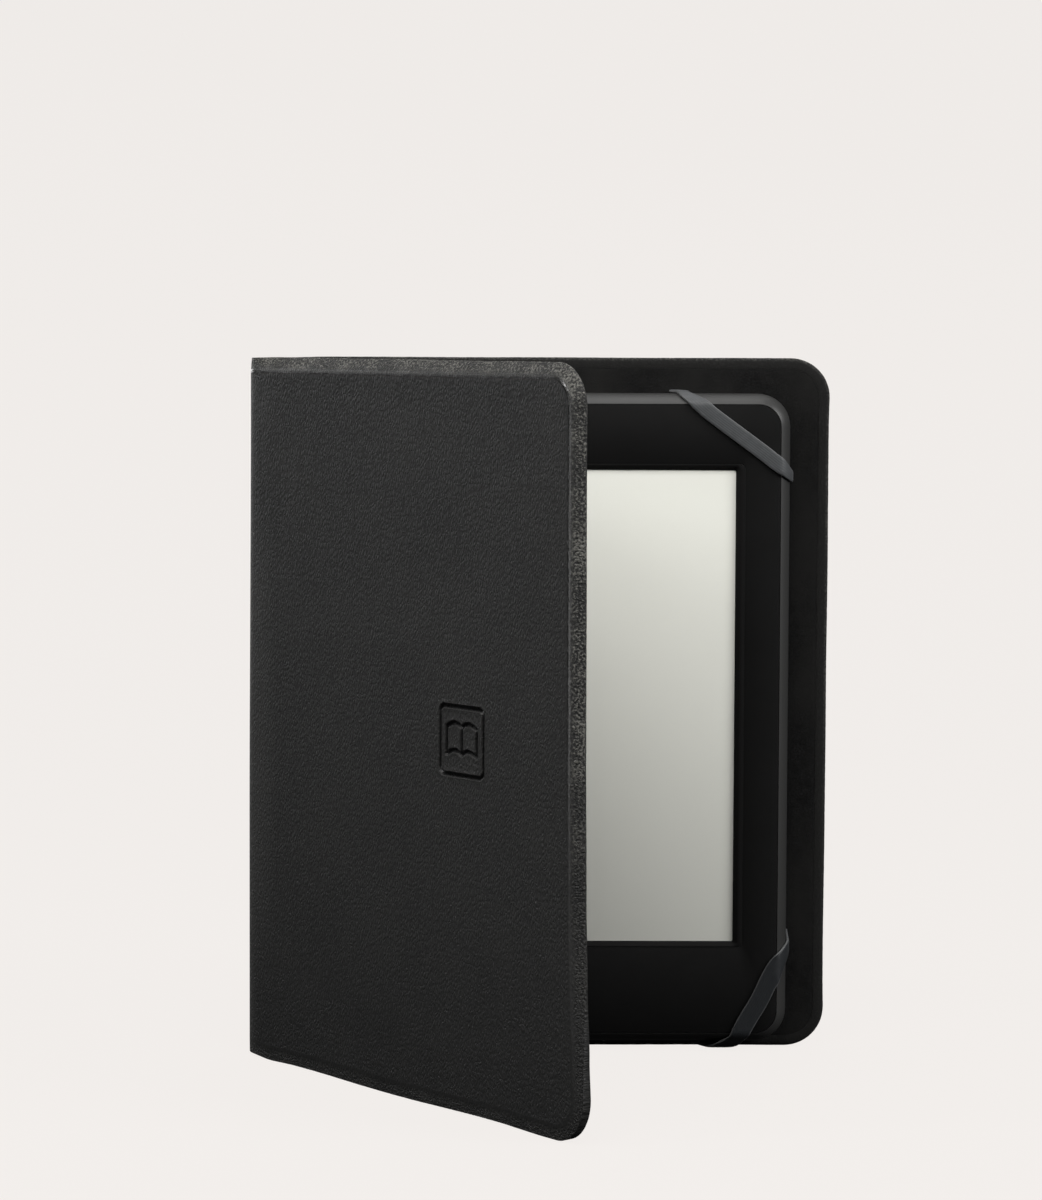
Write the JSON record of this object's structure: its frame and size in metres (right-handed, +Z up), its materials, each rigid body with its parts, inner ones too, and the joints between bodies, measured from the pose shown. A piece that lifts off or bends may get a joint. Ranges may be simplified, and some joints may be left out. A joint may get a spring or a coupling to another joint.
{
  "type": "e-reader in a folio case",
  "caption": "E-reader held by elastic corner straps in a leather folio case that stands half open, with a folding spine and cover and a sprung power button.",
  "frame": {"origin": "centre of the bounding box's base, on the surface the open case stands on", "axes": "+Z up along the fold axes, +Y out of the back cover, +X from the spine towards the back cover's free edge; the screen faces -Y"},
  "size_m": [0.1498, 0.131, 0.1807],
  "materials": {
    "leather": "matte pressed grain",
    "case_board": "raw grey board",
    "microfibre": "brushed",
    "elastic": "ribbed flat elastic",
    "satin_plastic": "satin moulded",
    "matte_plastic": "soft matte",
    "gloss_plastic": "polished",
    "epaper": "fine matte film",
    "circuit_board": "solder mask",
    "foam": "closed-cell foam",
    "chassis_metal": "brushed sheet",
    "steel": "plated",
    "chip_plastic": "moulded epoxy",
    "connector_plastic": "moulded nylon",
    "clear_plastic": "clear moulding",
    "ribbon_film": "polyimide film",
    "battery_pouch": "foil pouch"
  },
  "bodies": {
    "back_cover": {"back_cover_skin": "leather", "back_cover_board": "case_board", "back_cover_lining": "microfibre", "rear_fold_leather": "leather", "rear_fold_lining": "microfibre", "strap_top_right": "elastic", "strap_top_left": "elastic", "strap_bottom_right": "elastic", "strap_bottom_left": "elastic", "rear_housing": "satin_plastic", "front_bezel": "matte_plastic", "infrared_lens_frame": "gloss_plastic", "epaper_panel": "epaper", "infrared_touch_board": "circuit_board", "display_foam_frame": "foam", "chassis_plate": "chassis_metal", "chassis_screw_1": "steel", "chassis_screw_2": "steel", "chassis_screw_3": "steel", "chassis_screw_4": "steel", "board_screw_1": "steel", "board_screw_2": "steel", "board_screw_3": "steel", "main_board": "circuit_board", "processor_shield": "steel", "memory_chip": "chip_plastic", "power_chip": "chip_plastic", "wifi_module": "steel", "battery_connector": "connector_plastic", "display_connector": "connector_plastic", "touch_connector": "connector_plastic", "power_switch": "steel", "usb_port": "steel", "status_light_pipe": "clear_plastic", "wifi_antenna": "ribbon_film", "battery_pack": "battery_pouch", "battery_lead": "ribbon_film", "display_flex": "ribbon_film", "touch_flex": "ribbon_film"},
    "spine": {"spine_skin": "leather", "spine_board": "case_board", "spine_lining": "microfibre"},
    "front_cover": {"front_cover_skin": "leather", "front_cover_board": "case_board", "front_cover_lining": "microfibre", "front_fold_leather": "leather", "front_fold_lining": "microfibre"},
    "power_button": {"power_button": "satin_plastic"}
  },
  "joints": [
    {"name": "spine_fold", "type": "hinge", "parent": "back_cover", "child": "spine", "pos_m": [-0.0671, 0.06505, 0], "axis": [0, 0, 1], "range_deg": [-152.8, 27.2], "deforming": ["rear_fold_leather", "rear_fold_lining"]},
    {"name": "cover_fold", "type": "hinge", "parent": "spine", "child": "front_cover", "pos_m": [-0.07532, 0.04904, 0], "axis": [0, 0, 1], "range_deg": [-152.8, 27.2], "deforming": ["front_fold_leather", "front_fold_lining"]},
    {"name": "power_button_press", "type": "slide", "parent": "back_cover", "child": "power_button", "axis": [0, 0, 1], "range_m": [0, 0.0005], "stiffness_N_per_m": 400}
  ]
}
